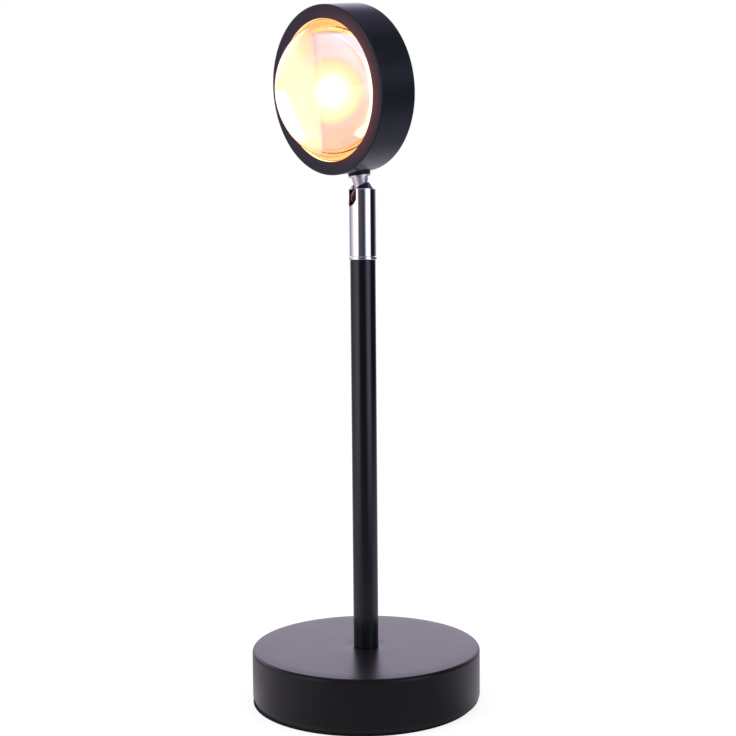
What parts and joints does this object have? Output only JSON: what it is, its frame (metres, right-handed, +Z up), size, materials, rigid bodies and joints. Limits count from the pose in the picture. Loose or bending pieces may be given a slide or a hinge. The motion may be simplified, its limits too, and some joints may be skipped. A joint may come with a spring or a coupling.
{
  "type": "sunset projection lamp",
  "caption": "Table projection lamp: weighted round base, straight post, slotted ball swivel and a flat round head with a domed lens over a colour filter.",
  "frame": {"origin": "on the table, under the centre of the base", "axes": "+Z up along the post; the lens faces -Y; the supply lead's inlet is at +Y"},
  "size_m": [0.0948, 0.0962, 0.285],
  "materials": {
    "foam": "closed-cell foam, matt",
    "plate_black": "black paint, satin",
    "zinc": "zinc plated",
    "base_black": "fine satin black powder coat",
    "post_black": "satin black powder coat",
    "iron": "as cast",
    "brass": "bare brass",
    "rubber_black": "soft rubber, matt",
    "heat_shrink": "shrunk sleeve",
    "wire": "silicone insulation",
    "chrome": "bright chrome plate",
    "spring_steel": "oiled spring steel",
    "nylon": "natural nylon",
    "ball_steel": "dark plated, greased",
    "washer_black": "moulded, matt",
    "head_black": "fine satin black coat on aluminium",
    "lens_glass": "polished optical glass",
    "filter_glass": "dichroic colour coat",
    "chamber_white": "white moulded reflector",
    "board_white": "white solder mask on aluminium",
    "phosphor": "yellow phosphor",
    "screw_black": "blackened steel"
  },
  "bodies": {
    "stand": {"base_pad": "foam", "base_plate": "plate_black", "base_plate_screws": "zinc", "base_shell": "base_black", "ballast": "iron", "stem_nipple": "brass", "stem_washer": "zinc", "stem_nut": "zinc", "stem_tube": "post_black", "cable_grommet": "rubber_black", "lead_splices": "heat_shrink", "lead_wires": "wire", "swivel_insert": "chrome", "swivel_clip": "spring_steel", "stop_pin": "spring_steel"},
    "sleeve": {"swivel_sleeve": "chrome", "thrust_washer": "nylon", "friction_spring": "spring_steel", "friction_seat": "nylon"},
    "ball": {"swivel_ball": "ball_steel"},
    "head": {"neck_stud": "chrome", "stud_clip": "spring_steel", "saddle_washer": "washer_black", "head_shell": "head_black", "lens": "lens_glass", "lens_gasket": "rubber_black", "colour_filter": "filter_glass", "light_chamber": "chamber_white", "led_board": "board_white", "led_chip": "phosphor", "led_screws": "zinc", "head_wires": "wire", "head_cover": "head_black", "cover_screws": "screw_black"}
  },
  "joints": [
    {"name": "sleeve_turn", "type": "hinge", "parent": "stand", "child": "sleeve", "pos_m": [0, 0, 0.1846], "axis": [0, 0, 1], "range_deg": [-165, 165]},
    {"name": "head_tilt", "type": "hinge", "parent": "sleeve", "child": "ball", "pos_m": [0, 0, 0.2083], "axis": [0.9636, -0.2672, 0], "range_deg": [-9, 82]},
    {"name": "head_turn", "type": "hinge", "parent": "ball", "child": "head", "pos_m": [0, 0, 0.2083], "axis": [-0.034, -0.1224, 0.9919], "range_deg": [-165, 165]}
  ]
}
